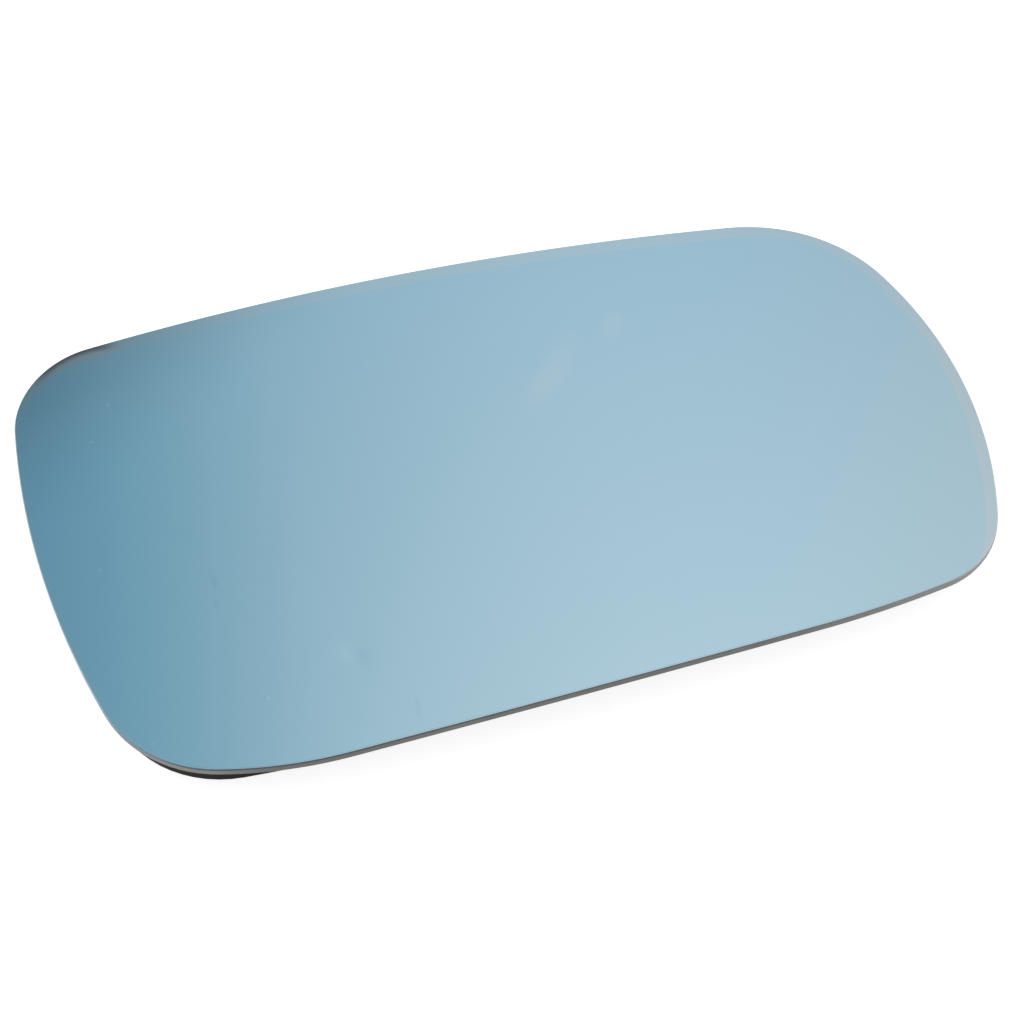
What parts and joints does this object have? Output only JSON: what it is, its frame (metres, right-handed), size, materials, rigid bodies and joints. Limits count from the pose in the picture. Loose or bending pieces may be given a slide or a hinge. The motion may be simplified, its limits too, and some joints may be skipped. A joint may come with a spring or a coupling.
{
  "type": "car door mirror glass",
  "caption": "Domed door mirror glass with a blue tint film, on a ribbed plastic plate with motor ring, pivot snap and adjuster seats.",
  "frame": {"origin": "on the pivot's axis, in the plane of the motor ring's rim, which is the plane that the part rests on", "axes": "+Z out of the mirror's face, +X along its width towards the end with the two unequal corners, +Y up the glass as it sits on the door"},
  "size_m": [0.175, 0.1044, 0.0129],
  "materials": {
    "mirror_coat": "bent float glass, coated on the front face, with a ground edge",
    "blue_tint": "thin blue film, seen over the mirror coat",
    "foam": "closed cell foam tape, sticky on both faces",
    "black_plastic": "moulded, fine grain"
  },
  "bodies": {
    "root": {"mirror_glass": "mirror_coat", "tint_film": "blue_tint", "adhesive_pad": "foam", "backing_plate": "black_plastic"}
  },
  "joints": []
}
